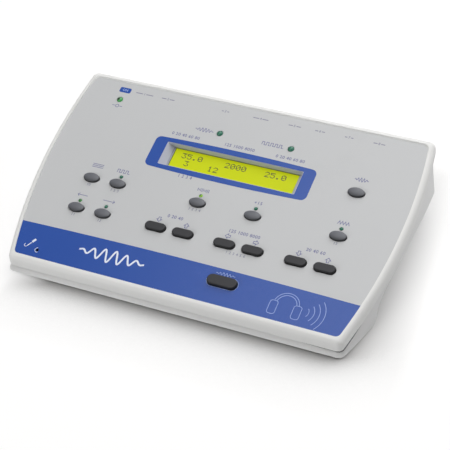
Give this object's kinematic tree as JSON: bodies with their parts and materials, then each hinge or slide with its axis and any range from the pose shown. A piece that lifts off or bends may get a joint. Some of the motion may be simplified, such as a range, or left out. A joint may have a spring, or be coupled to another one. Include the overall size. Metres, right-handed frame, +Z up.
{
  "type": "screening audiometer",
  "caption": "Desktop screening audiometer with a sloping key panel, a recessed character display, indicator lamps and a row of rear sockets.",
  "frame": {"origin": "on the desk, under the middle of the part's bounding box", "axes": "+Z up, +X to the right of someone who faces the key panel, +Y to the rear, where the sockets are"},
  "size_m": [0.2698, 0.16, 0.0599],
  "materials": {
    "cover_plastic": "satin",
    "base_plastic": "satin",
    "panel_print": "matt printed film",
    "foot_rubber": "matt",
    "screw_steel": "zinc",
    "display_bezel": "matt",
    "display_glass": "gloss, backlit",
    "circuit_board": "solder mask",
    "ribbon_grey": "matt",
    "component_black": "matt",
    "nut_nickel": "nickel",
    "socket_black": "matt",
    "socket_metal": "tinned",
    "rocker_black": "gloss",
    "key_grey": "satin",
    "key_black": "matt",
    "lamp_green": "clear tinted",
    "lamp_lit": "clear tinted, lit"
  },
  "bodies": {
    "case": {"top_cover": "cover_plastic", "base_cover": "base_plastic", "fascia_overlay": "panel_print", "rubber_feet": "foot_rubber", "microphone_boot": "foot_rubber", "case_screws": "screw_steel", "display_screws": "screw_steel", "main_board_screws": "screw_steel", "socket_board_screws": "screw_steel", "printer_posts": "screw_steel", "display_frame": "display_bezel", "display_glass": "display_glass", "display_board": "circuit_board", "main_board": "circuit_board", "socket_board": "circuit_board", "display_ribbon": "ribbon_grey", "board_ribbon": "ribbon_grey", "processor_chip": "component_black", "audio_chips": "component_black", "board_capacitors": "component_black", "key_switches": "component_black", "jack_nuts": "nut_nickel", "power_inlet": "socket_black", "response_jack": "socket_black", "insert_jack": "socket_black", "bone_jack": "socket_black", "left_jack": "socket_black", "right_jack": "socket_black", "power_switch_frame": "socket_black", "usb_socket": "socket_metal", "printer_socket": "socket_metal", "microphone_capsule": "socket_metal", "pulse_lamp": "lamp_green", "right_lamp": "lamp_green", "boost_lamp": "lamp_green", "bone_lamp": "lamp_green", "present_lamp": "lamp_green", "response_lamp": "lamp_green", "power_lamp": "lamp_lit", "left_lamp": "lamp_lit", "mask_lamp": "lamp_lit"},
    "rocker": {"power_rocker": "rocker_black"},
    "menu_key": {"menu_button": "key_grey"},
    "pulse_key": {"pulse_button": "key_grey"},
    "left_key": {"left_button": "key_grey"},
    "right_key": {"right_button": "key_grey"},
    "mask_key": {"mask_button": "key_grey"},
    "boost_key": {"boost_button": "key_grey"},
    "bone_key": {"bone_button": "key_grey"},
    "talkover_key": {"talkover_button": "key_grey"},
    "signal_down_key": {"signal_down_button": "key_black"},
    "signal_up_key": {"signal_up_button": "key_black"},
    "frequency_down_key": {"frequency_down_button": "key_black"},
    "frequency_up_key": {"frequency_up_button": "key_black"},
    "masking_down_key": {"masking_down_button": "key_black"},
    "masking_up_key": {"masking_up_button": "key_black"},
    "present_key": {"present_button": "key_black"}
  },
  "joints": [
    {"name": "menu_press", "type": "slide", "parent": "case", "child": "menu_key", "axis": [0, 0.2924, -0.9563], "range_m": [0, 0.001], "stiffness_N_per_m": 600},
    {"name": "pulse_press", "type": "slide", "parent": "case", "child": "pulse_key", "axis": [0, 0.2924, -0.9563], "range_m": [0, 0.001], "stiffness_N_per_m": 600},
    {"name": "left_press", "type": "slide", "parent": "case", "child": "left_key", "axis": [0, 0.2924, -0.9563], "range_m": [0, 0.001], "stiffness_N_per_m": 600},
    {"name": "right_press", "type": "slide", "parent": "case", "child": "right_key", "axis": [0, 0.2924, -0.9563], "range_m": [0, 0.001], "stiffness_N_per_m": 600},
    {"name": "mask_press", "type": "slide", "parent": "case", "child": "mask_key", "axis": [0, 0.2924, -0.9563], "range_m": [0, 0.001], "stiffness_N_per_m": 600},
    {"name": "boost_press", "type": "slide", "parent": "case", "child": "boost_key", "axis": [0, 0.2924, -0.9563], "range_m": [0, 0.001], "stiffness_N_per_m": 600},
    {"name": "bone_press", "type": "slide", "parent": "case", "child": "bone_key", "axis": [0, 0.2924, -0.9563], "range_m": [0, 0.001], "stiffness_N_per_m": 600},
    {"name": "talkover_press", "type": "slide", "parent": "case", "child": "talkover_key", "axis": [0, 0.2924, -0.9563], "range_m": [0, 0.001], "stiffness_N_per_m": 600},
    {"name": "signal_down_press", "type": "slide", "parent": "case", "child": "signal_down_key", "axis": [0, 0.2924, -0.9563], "range_m": [0, 0.001], "stiffness_N_per_m": 600},
    {"name": "signal_up_press", "type": "slide", "parent": "case", "child": "signal_up_key", "axis": [0, 0.2924, -0.9563], "range_m": [0, 0.001], "stiffness_N_per_m": 600},
    {"name": "frequency_down_press", "type": "slide", "parent": "case", "child": "frequency_down_key", "axis": [0, 0.2924, -0.9563], "range_m": [0, 0.001], "stiffness_N_per_m": 600},
    {"name": "frequency_up_press", "type": "slide", "parent": "case", "child": "frequency_up_key", "axis": [0, 0.2924, -0.9563], "range_m": [0, 0.001], "stiffness_N_per_m": 600},
    {"name": "masking_down_press", "type": "slide", "parent": "case", "child": "masking_down_key", "axis": [0, 0.2924, -0.9563], "range_m": [0, 0.001], "stiffness_N_per_m": 600},
    {"name": "masking_up_press", "type": "slide", "parent": "case", "child": "masking_up_key", "axis": [0, 0.2924, -0.9563], "range_m": [0, 0.001], "stiffness_N_per_m": 600},
    {"name": "present_press", "type": "slide", "parent": "case", "child": "present_key", "axis": [0, 0.2924, -0.9563], "range_m": [0, 0.001], "stiffness_N_per_m": 600},
    {"name": "power_rock", "type": "hinge", "parent": "case", "child": "rocker", "pos_m": [-0.0998, 0.07559, 0.031], "axis": [1, 0, 0], "range_deg": [-14, 0]}
  ]
}
